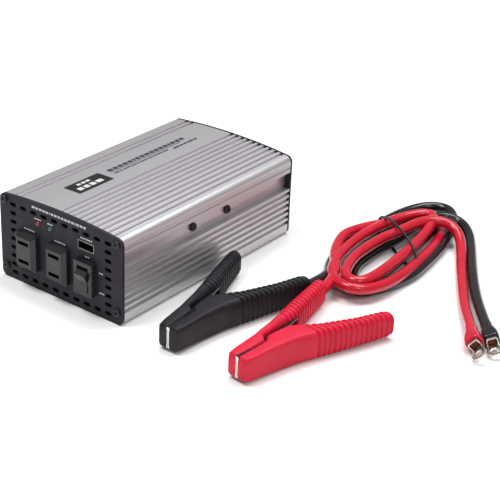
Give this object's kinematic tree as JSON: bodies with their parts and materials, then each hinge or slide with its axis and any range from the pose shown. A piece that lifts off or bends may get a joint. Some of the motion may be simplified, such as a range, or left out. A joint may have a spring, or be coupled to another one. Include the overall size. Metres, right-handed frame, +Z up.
{
  "type": "power inverter",
  "caption": "Battery-fed power inverter in a ribbed aluminium case with sockets, USB port, rocker switch, rear fan and posts, and its clamp leads.",
  "frame": {"origin": "centre of the case's underside", "axes": "+Z up, sockets and switch face -Y, battery posts face +Y, +X to the right of someone facing the sockets"},
  "size_m": [0.2935, 0.276, 0.06],
  "materials": {
    "anodised_aluminium": "fine brushed, clear anodised",
    "panel_black": "fine moulded texture",
    "black_steel": "black oxide, slight gloss",
    "label_black": "printed film",
    "socket_plastic": "semi-gloss moulded",
    "brass_contact": "bright",
    "bright_metal": "nickel plated",
    "red_lens": "clear tinted lens",
    "green_lens": "clear tinted lens",
    "switch_black": "semi-gloss moulded",
    "board_green": "solder mask",
    "bare_aluminium": "milled",
    "package_black": "moulded epoxy",
    "ferrite": "sintered",
    "winding": "enamelled copper",
    "capacitor_sleeve": "shrunk sleeve",
    "fuse_plastic": "translucent",
    "fan_black": "moulded",
    "wire_black": "insulated",
    "red_plastic": "moulded",
    "black_plastic": "moulded",
    "tie_black": "coated wire",
    "black_boot": "soft vinyl, satin",
    "red_boot": "soft vinyl, satin",
    "black_cable": "glossy vinyl",
    "red_cable": "glossy vinyl"
  },
  "bodies": {
    "inverter": {"black_cable_clamp_end": "black_cable", "black_cable_coil": "black_cable", "black_cable_free_end": "black_cable", "black_clamp_front_boot": "black_boot", "black_clamp_front_jaw": "bright_metal", "black_clamp_spring": "bright_metal", "black_lug": "bright_metal", "black_lug_sleeve": "black_cable", "blade_fuses": "fuse_plastic", "capacitors": "capacitor_sleeve", "case_base": "anodised_aluminium", "case_top": "anodised_aluminium", "circuit_board": "board_green", "clamp_pins": "bright_metal", "fan_frame": "fan_black", "filter_toroid": "winding", "front_panel": "panel_black", "fuse_holder": "package_black", "heat_sink_bars": "bare_aluminium", "input_wires": "wire_black", "lead_tie": "tie_black", "led_green": "green_lens", "led_red": "red_lens", "negative_insulator": "black_plastic", "outlet_contacts": "brass_contact", "outlet_left": "socket_plastic", "outlet_right": "socket_plastic", "outlet_wires": "wire_black", "panel_screws": "black_steel", "positive_insulator": "red_plastic", "power_transistors": "package_black", "rating_label": "label_black", "rear_panel": "panel_black", "red_cable_clamp_end": "red_cable", "red_cable_coil": "red_cable", "red_cable_free_end": "red_cable", "red_clamp_back_boot": "red_boot", "red_clamp_back_jaw": "bright_metal", "red_clamp_spring": "bright_metal", "red_lug": "bright_metal", "red_lug_sleeve": "red_cable", "side_screws": "black_steel", "stud_nuts": "bright_metal", "switch_frame": "switch_black", "switch_terminals": "brass_contact", "terminal_studs": "brass_contact", "transformer_cores": "ferrite", "transformer_windings": "winding", "usb_shell": "bright_metal", "usb_tongue": "socket_plastic"},
    "rocker": {"switch_rocker": "switch_black"},
    "fan_rotor": {"fan_rotor": "fan_black"},
    "positive_washer": {"positive_washer": "bright_metal"},
    "positive_knob": {"positive_knob": "red_plastic"},
    "negative_washer": {"negative_washer": "bright_metal"},
    "negative_knob": {"negative_knob": "black_plastic"},
    "black_clamp_arm": {"black_clamp_back_boot": "black_boot", "black_clamp_back_jaw": "bright_metal"},
    "red_clamp_arm": {"red_clamp_front_boot": "red_boot", "red_clamp_front_jaw": "bright_metal"}
  },
  "joints": [
    {"name": "rocker_tilt", "type": "hinge", "parent": "inverter", "child": "rocker", "pos_m": [0.0227, -0.081, 0.0243], "axis": [-1, 0, 0], "range_deg": [0, 24]},
    {"name": "fan_spin", "type": "hinge", "parent": "inverter", "child": "fan_rotor", "pos_m": [-0.02, 0.077, 0.028], "axis": [0, 1, 0], "continuous": true},
    {"name": "positive_washer_slide", "type": "slide", "parent": "inverter", "child": "positive_washer", "axis": [0, 1, 0], "range_m": [0, 0.004]},
    {"name": "positive_knob_turn", "type": "hinge", "parent": "positive_washer", "child": "positive_knob", "pos_m": [0.0115, 0.09, 0.022], "axis": [0, -1, 0], "range_deg": [0, 1800]},
    {"name": "negative_washer_slide", "type": "slide", "parent": "inverter", "child": "negative_washer", "axis": [0, 1, 0], "range_m": [0, 0.004]},
    {"name": "negative_knob_turn", "type": "hinge", "parent": "negative_washer", "child": "negative_knob", "pos_m": [0.0282, 0.09, 0.022], "axis": [0, -1, 0], "range_deg": [0, 1800]},
    {"name": "black_clamp_open", "type": "hinge", "parent": "inverter", "child": "black_clamp_arm", "pos_m": [0.08857, -0.05002, 0.0095], "axis": [0, 0, -1], "range_deg": [0, 22], "stiffness_Nm_per_rad": 1.2, "springref_deg": -20.05},
    {"name": "red_clamp_open", "type": "hinge", "parent": "inverter", "child": "red_clamp_arm", "pos_m": [0.14347, -0.04921, 0.0095], "axis": [0, 0, 1], "range_deg": [0, 22], "stiffness_Nm_per_rad": 1.2, "springref_deg": -20.05}
  ],
  "couplings": [
    {"joint": "positive_knob_turn", "follows": "positive_washer_slide", "rad_per_m": 7854},
    {"joint": "negative_knob_turn", "follows": "negative_washer_slide", "rad_per_m": 7854}
  ]
}
